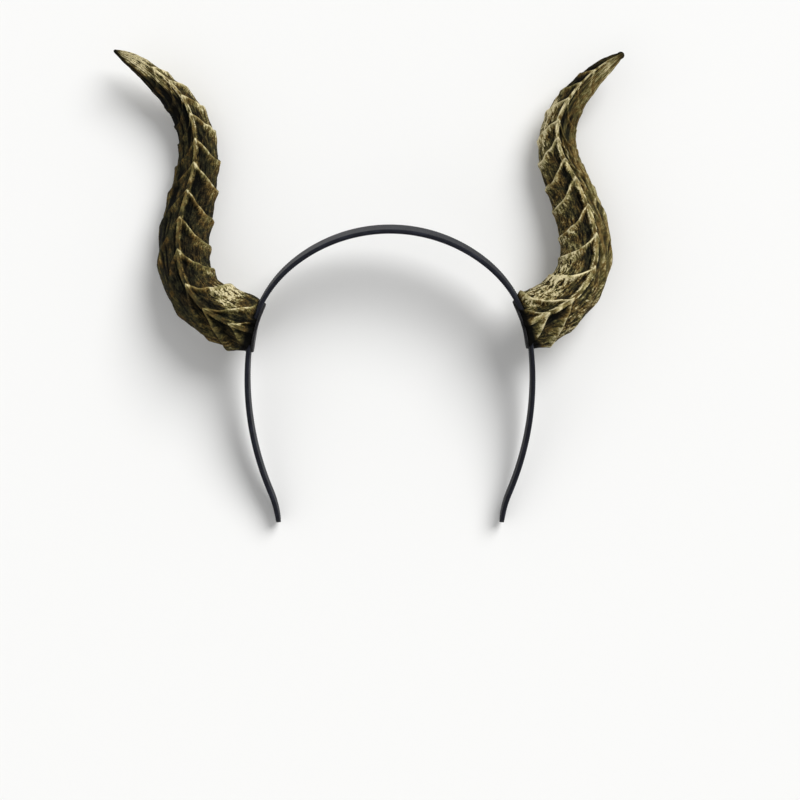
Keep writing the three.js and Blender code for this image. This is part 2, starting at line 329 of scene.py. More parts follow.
def strip_rings(distances, clearance, corner, outline, relief):
    """The strip's skin, grown by a clearance, with a relief added to its faces."""
    width = hoop_width(distances)[:, None] / 2 + clearance
    face = HOOP_THICKNESS / 2 + clearance
    corner = np.minimum(corner, np.minimum(width * 0.9, face * 0.9))
    side_across, side_face, cosine, sine, flat = outline.T
    across = side_across * (width - corner) + side_across * corner * cosine
    across = across + flat * (width - corner)
    offset = side_face * (face - corner) + side_face * corner * sine
    offset = offset + np.sign(side_face) * sine * relief(distances[:, None], across)
    x, y = hoop_point(distances[:, None], offset)
    return stand_up(x, y, across), across


def ribbon_relief(distance, across):
    """The cords across the ribbon."""
    cords = np.cos(distance * (2 * math.pi / RIBBON_RIB))
    return RIBBON_RIB_HEIGHT * cords + 0 * across


def ribbon_finish(start):
    cloth = start.attribute("weave", 1)
    threads = cloth.stretched((0.25, 1.0, 1.0)).noise(THREAD_SIZE, 2.0)
    worn = cloth.noise(WORN_PATCH_SIZE, 4.0).step(0.35, 0.8)
    fray = (threads * 0.7 + worn * 0.3).step(0.3, 0.75)
    return {
        "Base Color": fray.mix(RIBBON_BLACK, RIBBON_GREY),
        "Normal": threads.bump(THREAD_HEIGHT, 0.6),
    }


def hoop():
    rows = round(2 * hoop_half / RIBBON_RIB * RIBBON_STEPS)
    end = hoop_half - RIBBON_TIP_CUT
    distances = np.linspace(-end, end, rows)
    outline = strip_outline(corner_steps=6, face_steps=9)
    rings, across = strip_rings(distances, 0.0, RIBBON_CORNER, outline, ribbon_relief)
    weave = np.stack([distances[:, None] + 0 * across, across, 0 * across + outline[:, 1]], -1)
    piece = skin("ribbon_hoop", rings, {"weave": weave})
    sockets = {"Roughness": 0.8, "Specular IOR Level": 0.15, "Sheen Weight": 0.08}
    piece.data.materials.append(finish("ribbon_cloth", sockets, ribbon_finish))
    return piece, rings


hoop_piece, hoop_rings = hoop()
low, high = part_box("hoop")
hoop_shift = (np.array(low) + np.array(high)) / 2
hoop_shift = hoop_shift - (hoop_rings.min((0, 1)) + hoop_rings.max((0, 1))) / 2
hoop_piece.data.transform(Matrix.Translation(hoop_shift))
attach(hoop_piece, "root")
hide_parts("hoop")

# Horns
# Solid soft foam with a hard skin, cast in a mould: a keel runs up the front and ribs fall from it
# on both sides, over a bark of fine streaks. The foam is black, and gold paint is dragged over it
# with a dry brush, so that it takes on the keel, the ribs and the streaks and misses the hollows.
# Painted shade darkens the hollows beside the keel and the notches above the knobs, and a painted
# highlight lightens the crests' top edges, the knobs and the thickest gold to a pale beige.
HORN_DEPTH_SHARE = 0.95
HORN_SQUARENESS = 1.8  # exponent of the section's outline: 2 is an ellipse, less is a rhomb
HORN_TRIM = 0.032  # length cast inside the hoop and cut away
TRIM_FALL_SHARE = 0.75  # how far a row may fall, as a share of its way from the trimmed end
FOOT_ROUNDING = 0.005
FOOT_RIM_SHARE = 0.88
# Each horn's side, its length from the hoop, the breadth of its foot, its seat as a share of the
# way from the hoop's crown to its end, the radius of its tip, the width of its keel's line and the
# seed of its bark. Then, as shares, where the band under each rib starts, how deep the teeth are
# away from the keel, how dark the hollows are, left unpainted by the brush and with painted shade,
# and how rusty the bands are. Last, how strong the hollows, the crests, the even paint and a second
# ridge are on the horn's outer side.
HORNS = {
    "right": dict(
        side=-1, length=0.192, foot_breadth=0.035, seat=0.467, tip_radius=0.0010,
        keel_width=0.0010, seed=3.0, band_from=0.5, teeth=1.0, bare=0.85, rust=1.0,
        outer_relief=0.55, outer_rib=0.6, outer_smooth=0.3, side_ridge=0.0,
    ),
    "left": dict(
        side=1, length=0.180, foot_breadth=0.0346, seat=0.458, tip_radius=0.0019,
        keel_width=0.0011, seed=41.0, band_from=0.64, teeth=0.55, bare=0.88, rust=0.5,
        outer_relief=0.6, outer_rib=0.4, outer_smooth=0.7, side_ridge=1.0,
    ),
}
# The horn's breadth, and its leans above the outward level and to the back, in degrees.
HORN_SECTIONS = [
    dict(along=0.0, breadth=1.0, sweep=-4, right_lean=20, left_lean=21),
    dict(along=0.08, breadth=0.94, sweep=4, right_lean=25, left_lean=34),
    dict(along=0.15, breadth=0.87, sweep=12, right_lean=39, left_lean=46),
    dict(along=0.22, breadth=0.85, sweep=15.5, right_lean=62, left_lean=64),
    dict(along=0.3, breadth=0.85, sweep=14.5, right_lean=86, left_lean=87),
    dict(along=0.4, breadth=0.82, sweep=10, right_lean=99, left_lean=105),
    dict(along=0.48, breadth=0.76, sweep=5, right_lean=102, left_lean=111),
    dict(along=0.56, breadth=0.69, sweep=0, right_lean=97, left_lean=111),
    dict(along=0.64, breadth=0.62, sweep=-4, right_lean=81, left_lean=93),
    dict(along=0.72, breadth=0.545, sweep=-7, right_lean=62, left_lean=70),
    dict(along=0.8, breadth=0.455, sweep=-9, right_lean=45, left_lean=53),
    dict(along=0.9, breadth=0.31, sweep=-10, right_lean=37, left_lean=41),
    dict(along=0.96, breadth=0.19, sweep=-10, right_lean=29, left_lean=35),
    dict(along=1.0, breadth=0.04, sweep=-10, right_lean=27, left_lean=32),
]
# Where each rib peaks, and how far the keel is turned outwards there, in degrees.
HORN_RIBS = [
    dict(right_peak=0.055, left_peak=0.063, right_keel=12, left_keel=2),
    dict(right_peak=0.127, left_peak=0.137, right_keel=11, left_keel=11),
    dict(right_peak=0.2, left_peak=0.24, right_keel=5, left_keel=18),
    dict(right_peak=0.303, left_peak=0.339, right_keel=8, left_keel=20),
    dict(right_peak=0.404, left_peak=0.432, right_keel=13, left_keel=20),
    dict(right_peak=0.492, left_peak=0.53, right_keel=11, left_keel=18),
    dict(right_peak=0.577, left_peak=0.601, right_keel=7, left_keel=12),
    dict(right_peak=0.648, left_peak=0.669, right_keel=3, left_keel=0),
    dict(right_peak=0.72, left_peak=0.724, right_keel=-7, left_keel=-10),
    dict(right_peak=0.775, left_peak=0.79, right_keel=-19, left_keel=-14),
    dict(right_peak=0.83, left_peak=0.847, right_keel=-28, left_keel=-17),
    dict(right_peak=0.886, left_peak=0.902, right_keel=-33, left_keel=-20),
]
# How fast a rib falls from the keel on the horn's inner side, in half breadths.
INNER_SLOPES = [
    dict(along=0.0, right=2.2, left=0.8),
    dict(along=0.1, right=2.0, left=1.4),
    dict(along=0.2, right=1.1, left=1.1),
    dict(along=0.55, right=1.05, left=1.05),
    dict(along=0.8, right=1.35, left=1.35),
    dict(along=1.0, right=1.45, left=1.45),
]
# The same on its outer side.
OUTER_SLOPES = [
    dict(along=0.0, right=0.85, left=0.95),
    dict(along=0.1, right=0.95, left=1.05),
    dict(along=0.22, right=1.45, left=1.7),
    dict(along=0.3, right=1.6, left=1.9),
    dict(along=1.0, right=1.6, left=1.9),
]
RIB_DEPTH_SHARE = 0.15
# How deep the hollows are round the horn, by degrees from the keel.
HOLLOW_ROUND = [
    dict(turn=0, share=1.1),
    dict(turn=35, share=1.15),
    dict(turn=90, share=0.6),
    dict(turn=150, share=0.4),
    dict(turn=180, share=0.3),
]
TEETH_TURNS = (35, 80)  # degrees from the keel over which a horn's teeth weaken
BACK_TURNS = (70, 150)  # degrees over which the crests weaken towards the horn's back
BAND_TURNS = (12, 70)  # degrees over which the bands under the ribs widen
HORN_COLUMNS = 200
COLUMNS_CLOSER = 0.45  # how much closer the mesh's columns are at the keel
RIB_ROWS = 35
ROWS_CLOSER = 0.09  # how much closer its rows are at the crests
RIB_WALL = 0.09  # where the drop above a crest ends, as a share of the way to the next rib
KEEL_BAND_FROM = 0.82  # the same for where the band starts beside the keel
BAND_FULL_FROM = 0.97
LAST_STOP = 1.2  # the end of the last space between ribs, as a share of the length
RIBS_PAST_LAST = 1.2  # how many spacings past the last peak the ribs die out
FOOT_RIB_SHARE = 0.8  # strength of the half rib between the hoop and the first peak
# The lowest ribs are nearly as strong on the outer side as on the inner one. These are the shares
# of the length over which that ends, and the strengths of their crests and hollows there.
ROOT_ENDS = (0.1, 0.2)
ROOT_RIB = 0.9
ROOT_RELIEF = 0.95
FULL_DETAIL = 0.012  # half breadth from which the details have their full size
LEAST_DETAIL = 0.2
FULL_BARK = 0.004  # the same for the bark
BARK_ON_LINES = 0.25  # how much of it is left on the crests, keel and knobs
# Shares of the length over which the furrows and the second ridge start, and over which it ends.
FURROWS_START = (0.15, 0.3)
RIDGE_START = (0.2, 0.3)
RIDGE_END = (0.6, 0.68)
CREST_HEIGHT = 0.00070
CREST_BELOW = 0.0019  # widths of a crest's line, measured along the horn
CREST_ABOVE = 0.0007
CREST_HIGHLIGHT_EDGE = 2.2  # how many times finer a crest's top edge is, where its gold is raised by a painted highlight
KEEL_HEIGHT = 0.00060
KEEL_FLANK = 0.0014
KEEL_NOTCH = 0.0005  # drop of the keel just above each rib
KNOB_HEIGHT = 0.0006
KNOB_SIZE = 0.0016
RIB_WANDER = 0.0013  # how far the ribs stray from their places
STREAK_HEIGHT = 0.00020
LUMP_HEIGHT = 0.00034
PIT_DEPTH = 0.00018
FURROW_DEPTH = 0.00035
RIDGE_WIDTH = 0.0009
RIDGE_HEIGHT = 0.00040
GROOVES_WIDTH = 2.6 * RIDGE_WIDTH  # of the pair of grooves beside the ridge
# The bark's noises: the size of their features, how they are drawn out along the horn (less is
# longer) and where they are taken from.
BARK_NOISES = {
    "wander": dict(size=0.0055, drawn=1.0, seed=19.0),
    "deeper": dict(size=0.014, drawn=1.0, seed=31.0),
    "streak": dict(size=0.0016, drawn=0.2, seed=5.0),
    "fine": dict(size=0.0009, drawn=0.3, seed=9.0),
    "lump": dict(size=0.0045, drawn=1.0, seed=13.0),
    "pit": dict(size=0.0014, drawn=1.0, seed=23.0),
    "broken": dict(size=0.003, drawn=1.0, seed=37.0),
    "furrow": dict(size=0.0045, drawn=0.05, seed=51.0),
}
# How far round the outer side the second ridge runs, in degrees from the keel.
SIDE_RIDGE = [
    dict(along=0.0, turn=52),
    dict(along=0.3, turn=42),
    dict(along=0.45, turn=33),
    dict(along=0.6, turn=24),
    dict(along=1.0, turn=20),
]
SHADE_REACH = 0.0075  # how far from the keel the hollows are darkest: painted shade over the foam the brush left unpainted
EDGE_BLURS = (6, 20)  # half the turn over which one side's gold meets the other's: low and at the tip
TIP_STARTS = (0.75, 0.9)
RUST_STARTS = (0.05, 0.2)
BANDS_EVEN_FROM = (0.1, 0.25)
SIDE_EVEN_FROM = (0.12, 0.3)
LINE_COVER = 0.9  # how fully the keel, the knobs and the second ridge hide the paint beside them
RIM_BARE = 0.003  # breadth of the foot's rim that the gold fades over
# Gold that the brush left on the bands, and on the crests' lines and their top edges as shares of
# the crests' gold; on the top edges it is raised further as a painted highlight. Each of the second
# values is how broken that is.
BAND_GOLD = 0.2
CREST_LINE_GOLD = (0.55, 0.15)
CREST_EDGE_GOLD_AND_HIGHLIGHT = (0.92, 0.5)
KEEL_GOLD = (1.0, 0.35)
RIDGE_GOLD = (1.0, 0.4)
KNOB_EXTRA_GOLD = 0.2
# Painted shade in the keel's notch above each knob, where the brush also skips it.
NOTCH_PAINTED_SHADE = 0.6
FURROW_DARK = 0.25
GROOVES_DARK = 0.32
STREAK_DRAG = 0.10
FINE_DRAG = 0.07
LUMP_DRAG = 0.08
LINES_EVEN = 0.85
BANDS_EVEN = 0.45
BARK_RADIUS = 0.012  # of the straight cylinder on which the bark is laid out
# How much gold the dry brush left, along each horn: on its inner and its outer side, on the
# crests of the ribs there, and on the keel. 0 is bare black foam and 1 is pale gold. The edge is
# where the inner side's gold ends, in degrees from the keel.
BRUSHED = {
    "right": [
        dict(along=0.0, inner=0.55, outer=0.42, inner_rib=0.5, outer_rib=0.5, keel=0.4, edge=0),
        dict(along=0.04, inner=0.45, outer=0.44, inner_rib=0.95, outer_rib=0.6, keel=0.44, edge=0),
        dict(along=0.08, inner=1.15, outer=0.4, inner_rib=1.0, outer_rib=0.55, keel=0.44, edge=-20),
        dict(along=0.13, inner=0.85, outer=0.33, inner_rib=0.9, outer_rib=0.45, keel=0.4, edge=-20),
        dict(along=0.17, inner=0.5, outer=0.26, inner_rib=0.72, outer_rib=0.26, keel=0.34, edge=0),
        dict(along=0.24, inner=0.4, outer=0.3, inner_rib=0.7, outer_rib=0.32, keel=0.42, edge=0),
        dict(along=0.4, inner=0.38, outer=0.32, inner_rib=0.72, outer_rib=0.38, keel=0.5, edge=0),
        dict(along=0.55, inner=0.38, outer=0.32, inner_rib=0.8, outer_rib=0.4, keel=0.64, edge=0),
        dict(along=0.64, inner=0.54, outer=0.32, inner_rib=0.85, outer_rib=0.36, keel=0.6, edge=0),
        dict(along=0.74, inner=0.84, outer=0.26, inner_rib=0.95, outer_rib=0.3, keel=0.55, edge=8),
        dict(along=0.82, inner=1.05, outer=0.24, inner_rib=0.95, outer_rib=0.25, keel=0.8, edge=35),
        dict(along=0.9, inner=1.1, outer=0.24, inner_rib=1.0, outer_rib=0.25, keel=0.9, edge=58),
        dict(along=0.97, inner=0.95, outer=0.2, inner_rib=0.9, outer_rib=0.2, keel=0.85, edge=58),
        dict(along=1.0, inner=0.1, outer=0.05, inner_rib=0.1, outer_rib=0.1, keel=0.1, edge=20),
    ],
    "left": [
        dict(along=0.0, inner=0.4, outer=0.58, inner_rib=0.5, outer_rib=0.75, keel=0.6, edge=0),
        dict(along=0.04, inner=0.85, outer=0.58, inner_rib=1.05, outer_rib=1.25, keel=0.75, edge=0),
        dict(along=0.14, inner=1.0, outer=0.56, inner_rib=1.15, outer_rib=0.8, keel=0.62, edge=0),
        dict(along=0.25, inner=0.72, outer=0.64, inner_rib=1.0, outer_rib=0.55, keel=0.58, edge=0),
        dict(along=0.35, inner=0.64, outer=0.7, inner_rib=0.95, outer_rib=0.65, keel=0.66, edge=0),
        dict(along=0.48, inner=0.58, outer=0.72, inner_rib=0.95, outer_rib=0.65, keel=0.76, edge=0),
        dict(along=0.58, inner=0.6, outer=0.65, inner_rib=1.0, outer_rib=0.65, keel=0.8, edge=0),
        dict(along=0.66, inner=1.1, outer=0.58, inner_rib=1.1, outer_rib=0.65, keel=0.85, edge=0),
        dict(along=0.74, inner=1.35, outer=0.52, inner_rib=1.15, outer_rib=0.6, keel=0.9, edge=0),
        dict(along=0.82, inner=0.45, outer=0.65, inner_rib=0.7, outer_rib=0.65, keel=0.95, edge=0),
        dict(along=0.9, inner=0.26, outer=0.78, inner_rib=0.5, outer_rib=0.7, keel=0.95, edge=0),
        dict(along=0.97, inner=0.2, outer=0.6, inner_rib=0.3, outer_rib=0.5, keel=0.8, edge=0),
        dict(along=1.0, inner=0.1, outer=0.2, inner_rib=0.2, outer_rib=0.2, keel=0.3, edge=0),
    ],
}
BARE_BLACK = (0.0030, 0.0030, 0.0025, 1.0)
THIN_OLIVE = (0.026, 0.023, 0.012, 1.0)
WORN_BROWN = (0.075, 0.056, 0.021, 1.0)
OLD_GOLD = (0.165, 0.130, 0.050, 1.0)
PALE_GOLD = (0.36, 0.31, 0.15, 1.0)
# The palest gold's beige, lightened further as a painted highlight where the gold runs highest.
PALE_BEIGE_AND_HIGHLIGHT = (0.66, 0.58, 0.35, 1.0)
RUST_TINT = (1.18, 0.92, 0.62, 1.0)
OLIVE_TINT = (0.88, 1.00, 0.86, 1.0)
GOLD_STOPS = [
    (0.1, BARE_BLACK), (0.26, THIN_OLIVE), (0.42, WORN_BROWN),
    (0.58, OLD_GOLD), (0.78, PALE_GOLD), (1.0, PALE_BEIGE_AND_HIGHLIGHT),
]
# The brushed paint: the sizes of its features and their height.
PAINT_STREAK_SIZE = 0.0010
PAINT_SPECK_SIZE = 0.0008
PAINT_PATCH_SIZE = 0.004
PAINT_DRIFT_SIZE = 0.006
PAINT_HEIGHT = 0.0011
# The cutters of a horn's foot.
CUT_STATIONS = 241
CUT_SPAN = 0.99  # share of the hoop that they run along
CUT_REACH = 0.034  # how far the one inside the hoop reaches to both sides
GROOVE_GAP = 0.0003  # clearance round the hoop
GROOVE_CORNER = 0.0009


def read_column(rows, key, column, at):
    """A column of a table read between its rows along a smooth line through them."""
    keys = np.array([row[key] for row in rows], float)
    values = np.array([row[column] for row in rows], float)
    slopes = np.empty(len(rows))
    slopes[1:-1] = (values[2:] - values[:-2]) / (keys[2:] - keys[:-2])
    slopes[0] = (values[1] - values[0]) / (keys[1] - keys[0])
    slopes[-1] = (values[-1] - values[-2]) / (keys[-1] - keys[-2])
    at = np.clip(at, keys[0], keys[-1])
    i = np.clip(np.searchsorted(keys, at, "right") - 1, 0, len(rows) - 2)
    span = keys[i + 1] - keys[i]
    t = (at - keys[i]) / span
    rise = values[i + 1] - values[i]
    leave, arrive = slopes[i] * span, slopes[i + 1] * span
    bend = 3 * rise - 2 * leave - arrive
    return values[i] + t * (leave + t * (bend + t * (leave + arrive - 2 * rise)))


def horn_line(name):
    """The horn's middle line and its direction, as functions of the distance from the hoop."""
    horn = HORNS[name]

    def direction(distance):
        along = distance / horn["length"]
        lean = np.radians(read_column(HORN_SECTIONS, "along", name + "_lean", along))
        sweep = np.radians(read_column(HORN_SECTIONS, "along", "sweep", along))
        way = np.stack([horn["side"] * np.cos(lean), np.sin(lean), -np.tan(sweep)], -1)
        return way / np.linalg.norm(way, axis=-1, keepdims=True)

    pace = 0.001
    x, y = hoop_point(horn["seat"] * hoop_half * horn["side"], 0.0)
    foot = stand_up(x, y, 0 * x) + hoop_shift
    walked = np.arange(-HORN_TRIM, horn["length"], pace)
    steps = direction(walked + pace / 2) * pace
    start = foot - direction(np.array(0.0)) * HORN_TRIM
    line = start + np.concatenate([np.zeros((1, 3)), np.cumsum(steps, 0)])
    marks = np.append(walked, walked[-1] + pace)

    def at(distance):
        return np.stack([np.interp(distance, marks, line[:, i]) for i in range(3)], -1)

    return at, direction


def bark_space(angle, distance, seed):
    """Where the bark of a horn would lie if the horn were a straight cylinder."""
    x = BARK_RADIUS * np.cos(angle)
    y = BARK_RADIUS * np.sin(angle)
    return np.stack(np.broadcast_arrays(x, y, distance + seed), -1)


def half_breadth(name, distance):
    """Half the breadth of the plain horn, drawn in at the foot's rim and round at the tip."""
    horn = HORNS[name]
    rim = smoothstep(-HOOP_THICKNESS / 2, FOOT_ROUNDING, distance)
    share = read_column(HORN_SECTIONS, "along", "breadth", distance / horn["length"])
    half = horn["foot_breadth"] / 2 * share * (FOOT_RIM_SHARE + (1 - FOOT_RIM_SHARE) * rim)
    tip = horn["tip_radius"]
    past = np.clip((distance - horn["length"] + tip) / tip, 0, 0.995)
    return np.maximum(half, tip) * np.sqrt(1 - past * past)


def rib_place(name, place):
    """How far a place is from the rib below it towards the next, from 0 to 1, and that spacing."""
    length = HORNS[name]["length"]
    peaks = np.array([rib[name + "_peak"] for rib in HORN_RIBS]) * length
    first = 2 * peaks[0] - peaks[1]
    last = 2 * peaks[-1] - peaks[-2]
    peaks = np.concatenate([[first], peaks, [last, length * LAST_STOP]])
    i = np.clip(np.searchsorted(peaks, place, "right") - 1, 0, len(peaks) - 2)
    spacing = np.diff(peaks)[i]
    return np.clip((place - peaks[i]) / spacing, 0, 1), spacing, i


def toward(value, target, share):
    return value + (target - value) * share


def cloud(points, size, seed):
    """Smooth noise from about -1 to 1, with features of one size."""
    moved = (points / size + seed).reshape(-1, 3).tolist()
    return np.array([noise.noise(point) for point in moved]).reshape(points.shape[:-1])


def horn_forms(name, place, angle, distance, half):
    """Where each form of a horn's surface lies on it, as shares, and what they are worked from."""
    horn = HORNS[name]
    bark = bark_space(angle, distance, horn["seed"])
    grown = {
        key: cloud(bark * (1, 1, kind["drawn"]), kind["size"], kind["seed"])
        for key, kind in BARK_NOISES.items()
    }
    along = distance / horn["length"]
    turned = np.degrees(np.arctan2(np.sin(angle), np.cos(angle)))  # outwards from the keel
    keelwise = np.abs(turned)
    arc = np.radians(keelwise) * half
    narrow = np.clip(half / FULL_DETAIL, LEAST_DETAIL, 1.0)
    outer = smoothstep(0, 0.3, np.sin(angle))
    rooted = 1 - smoothstep(*ROOT_ENDS, place / horn["length"])

    rib, spacing, count = rib_place(name, place + RIB_WANDER * grown["wander"])
    ribbed = smoothstep(0, 1, len(HORN_RIBS) + RIBS_PAST_LAST - count - rib)
    ribbed = ribbed * np.where(count == 0, FOOT_RIB_SHARE, 1.0)
    band_from = toward(KEEL_BAND_FROM, horn["band_from"], smoothstep(*BAND_TURNS, keelwise))
    band = smoothstep(band_from, BAND_FULL_FROM, rib) * ribbed
    from_crest = np.where(rib > 0.5, (1 - rib) / CREST_BELOW, rib / CREST_ABOVE) * spacing
    fade = ribbed * (1 - 0.8 * smoothstep(*BACK_TURNS, keelwise))
    fade = fade * toward(1, toward(horn["outer_rib"], ROOT_RIB, rooted), outer)
    crest = np.exp(-(from_crest**2)) * fade
    # The crest's fine top edge, which the paint lightens as a painted highlight.
    edge = np.exp(-((from_crest * CREST_HIGHLIGHT_EDGE) ** 2)) * fade

    keel_width = horn["keel_width"] * narrow
    keel = np.exp(-((arc / keel_width) ** 3))
    notch = smoothstep(0.0, 0.05, rib) * (1 - smoothstep(0.06, 0.4, rib)) * ribbed
    from_knob = np.where(rib > 0.5, 1 - rib, 2 * rib) * spacing
    knob = np.exp(-(from_knob**2 + arc**2) / KNOB_SIZE**2) * ribbed
    line = np.maximum(np.maximum(crest, keel), knob)

    beside_keel = smoothstep(keel_width, keel_width + KEEL_FLANK * narrow, arc)
    hollow = smoothstep(0.0, RIB_WALL, rib) * (1 - band) * beside_keel * ribbed
    depth = read_column(HOLLOW_ROUND, "turn", "share", keelwise)
    depth = depth * toward(1, horn["teeth"], smoothstep(*TEETH_TURNS, keelwise))
    depth = depth * toward(1, toward(horn["outer_relief"], ROOT_RELIEF, rooted), outer)
    deep = hollow * depth * (1 + 0.3 * grown["deeper"])

    from_ridge = np.radians(turned - read_column(SIDE_RIDGE, "along", "turn", along)) * half
    ridged = smoothstep(*RIDGE_START, along) * (1 - smoothstep(*RIDGE_END, along))
    ridged = ridged * horn["side_ridge"]
    ridge = np.exp(-((from_ridge / RIDGE_WIDTH) ** 2)) * ridged
    grooves = np.exp(-((from_ridge / GROOVES_WIDTH) ** 4)) * ridged - ridge
    furrow = 1 - smoothstep(0.02, 0.2, np.abs(grown["furrow"]))
    furrow = furrow * outer * (1 - line) * smoothstep(*FURROWS_START, along)
    return SimpleNamespace(
        bark=bark, along=along, turned=turned, arc=arc, narrow=narrow, outer=outer, rooted=rooted,
        band=band, crest=crest, edge=edge, keel=keel, notch=notch, knob=knob, line=line,
        hollow=hollow, deep=deep, ridge=ridge, grooves=grooves, furrow=furrow,
        streak=1 - 2 * np.abs(grown["streak"]), fine=1 - 2 * np.abs(grown["fine"]),
        lump=grown["lump"], pit=grown["pit"], broken=grown["broken"],
    )


def relief(half, form):
    """How far the surface stands out of the plain horn."""
    lines = CREST_HEIGHT * form.crest + KEEL_HEIGHT * form.keel + KNOB_HEIGHT * form.knob
    lines = lines - KEEL_NOTCH * form.notch * form.keel
    grain = STREAK_HEIGHT * (form.streak + 0.5 * form.fine)
    grain = grain + LUMP_HEIGHT * form.lump - PIT_DEPTH * np.abs(form.pit)
    bark = grain * toward(1, BARK_ON_LINES, form.line) - FURROW_DEPTH * form.furrow
    raised = form.narrow * lines - RIB_DEPTH_SHARE * half * form.deep
    raised = raised + smoothstep(0.0, FULL_BARK, half) * bark
    return raised + RIDGE_HEIGHT * (form.ridge - 0.8 * form.grooves)


def strewn(share, broken):
    """A share of gold that comes and goes with a noise: its middle value, and how much it does."""
    return share[0] + share[1] * broken


def brushed(name, distance, form):
    """The brushed paint with its painted shade and highlight: how much gold lies where, how even it
    is and how rusty.
    """
    horn = HORNS[name]
    brush = {key: read_column(BRUSHED[name], "along", key, form.along) for key in BRUSHED[name][0]}
    blur = toward(*EDGE_BLURS, smoothstep(*TIP_STARTS, form.along))
    outwards = smoothstep(-blur, blur, form.turned - brush["edge"])
    outwards = outwards * (1 - smoothstep(165, 180, form.turned))
    side = toward(brush["inner"], brush["outer"], outwards)
    crest_gold = toward(brush["inner_rib"], brush["outer_rib"], outwards)
    broken = form.broken
    # The brush leaves the hollows unpainted; beside the keel they are darkened further with painted
    # shade.
    missed_and_shaded = form.hollow * (0.5 + 0.5 * np.exp(-((form.arc / SHADE_REACH) ** 2)))
    missed_and_shaded = missed_and_shaded * (1 - 0.5 * form.outer * (1 - form.rooted))
    gold = side * (1 - missed_and_shaded * horn["bare"])
    gold = gold + BAND_GOLD * form.band * (1 - side) * (1 - 0.5 * form.outer)
    # The keel's notch above each knob is darkened with painted shade, where the brush also skips it.
    keel_gold = brush["keel"] * strewn(KEEL_GOLD, broken) * (1 - NOTCH_PAINTED_SHADE * form.notch)
    gold = toward(gold, keel_gold, LINE_COVER * form.keel)
    gold = toward(gold, crest_gold * strewn(CREST_LINE_GOLD, broken), form.crest)
    # A painted highlight on the crest's top edge, over its brushed gold.
    gold = toward(gold, crest_gold * strewn(CREST_EDGE_GOLD_AND_HIGHLIGHT, broken), form.edge)
    knob_gold = np.minimum(1, KNOB_EXTRA_GOLD + np.maximum(brush["keel"], crest_gold))
    gold = toward(gold, knob_gold, LINE_COVER * form.knob)
    dragged = STREAK_DRAG * (form.streak - 0.3) + FINE_DRAG * (form.fine - 0.3)
    dragged = dragged + LUMP_DRAG * (form.lump - form.pit)
    gold = gold + dragged * (0.5 + side) * (1 - 0.7 * form.line) - FURROW_DARK * form.furrow
    ridge_gold = brush["keel"] * strewn(RIDGE_GOLD, broken)
    gold = toward(gold, ridge_gold, LINE_COVER * form.ridge) - GROOVES_DARK * form.grooves
    gold = gold * smoothstep(0.0, RIM_BARE, distance)
    rust = horn["rust"] * form.band * (1 - form.crest) * (1 - form.keel)
    rust = rust * smoothstep(-0.2, 0.4, broken) * smoothstep(*RUST_STARTS, form.along)
    even_band = BANDS_EVEN * form.band * smoothstep(*BANDS_EVEN_FROM, form.along)
    even_side = horn["outer_smooth"] * form.outer * smoothstep(*SIDE_EVEN_FROM, form.along)
    smooth = np.maximum(np.maximum(LINES_EVEN * form.line, even_band), even_side)
    return {"gold": gold, "smooth": smooth, "rust": rust, "bark": form.bark}


def section_radius(angle):
    """The section's outline, a rounded rhomb, as a share of half its breadth."""
    across = np.abs(np.sin(angle))
    deep = np.abs(np.cos(angle)) / HORN_DEPTH_SHARE
    return (across ** HORN_SQUARENESS + deep ** HORN_SQUARENESS) ** (-1 / HORN_SQUARENESS)


def horn_rows(name):
    """Places along the keel for the mesh's rows, closest at the ribs' crests."""
    length = HORNS[name]["length"]
    peaks = np.array([rib[name + "_peak"] for rib in HORN_RIBS]) * length
    stops = np.concatenate([[-HORN_TRIM], peaks, [2 * peaks[-1] - peaks[-2], length]])
    even = np.arange(RIB_ROWS) / RIB_ROWS
    closer = even - ROWS_CLOSER * np.sin(2 * math.pi * even)
    rows = [low + (high - low) * closer for low, high in zip(stops[:-1], stops[1:])]
    return np.append(np.concatenate(rows), length)


def horn_surface(name):
    """A horn's rings of points, and the brushed paint on each of them, with its painted shade and
    highlight.
    """
    horn = HORNS[name]
    at, direction = horn_line(name)
    place = horn_rows(name)[:, None]
    angle = np.linspace(0, 2 * math.pi, HORN_COLUMNS, endpoint=False)[None, :]
    angle = angle - COLUMNS_CLOSER * np.sin(angle)
    inner_slope, outer_slope = (
        read_column(slopes, "along", name, place / horn["length"])
        for slopes in (INNER_SLOPES, OUTER_SLOPES)
    )
    slope = np.where(np.sin(angle) > 0, outer_slope, inner_slope)
    fall = np.minimum(slope * half_breadth(name, place), TRIM_FALL_SHARE * (place + HORN_TRIM))
    fall = np.minimum(fall, horn["length"] - place)
    distance = place - fall * np.abs(np.sin(angle))
    half = half_breadth(name, distance)
    form = horn_forms(name, place, angle, distance, half)
    radius = half * section_radius(angle) + relief(half, form)
    keel = [dict(peak=rib[name + "_peak"], turn=rib[name + "_keel"]) for rib in HORN_RIBS]
    turn = angle + np.radians(read_column(keel, "peak", "turn", place / horn["length"]))
    tangent = direction(distance)
    front = np.array([0, 0, 1.0]) - tangent * tangent[..., 2:]
    front = front / np.linalg.norm(front, axis=-1, keepdims=True)
    outward = np.cross(tangent, front) * horn["side"]
    points = at(distance) + radius[..., None] * (
        front * np.cos(turn)[..., None] + outward * np.sin(turn)[..., None]
    )
    points[..., 2] = np.maximum(points[..., 2], 0)  # flat where it lies on the table
    return points, brushed(name, distance, form)


def recalculate(piece):
    """Turns a closed piece's faces outwards."""
    work = bmesh.new()
    work.from_mesh(piece.data)
    bmesh.ops.recalc_face_normals(work, faces=work.faces)
    work.to_mesh(piece.data)
    work.free()


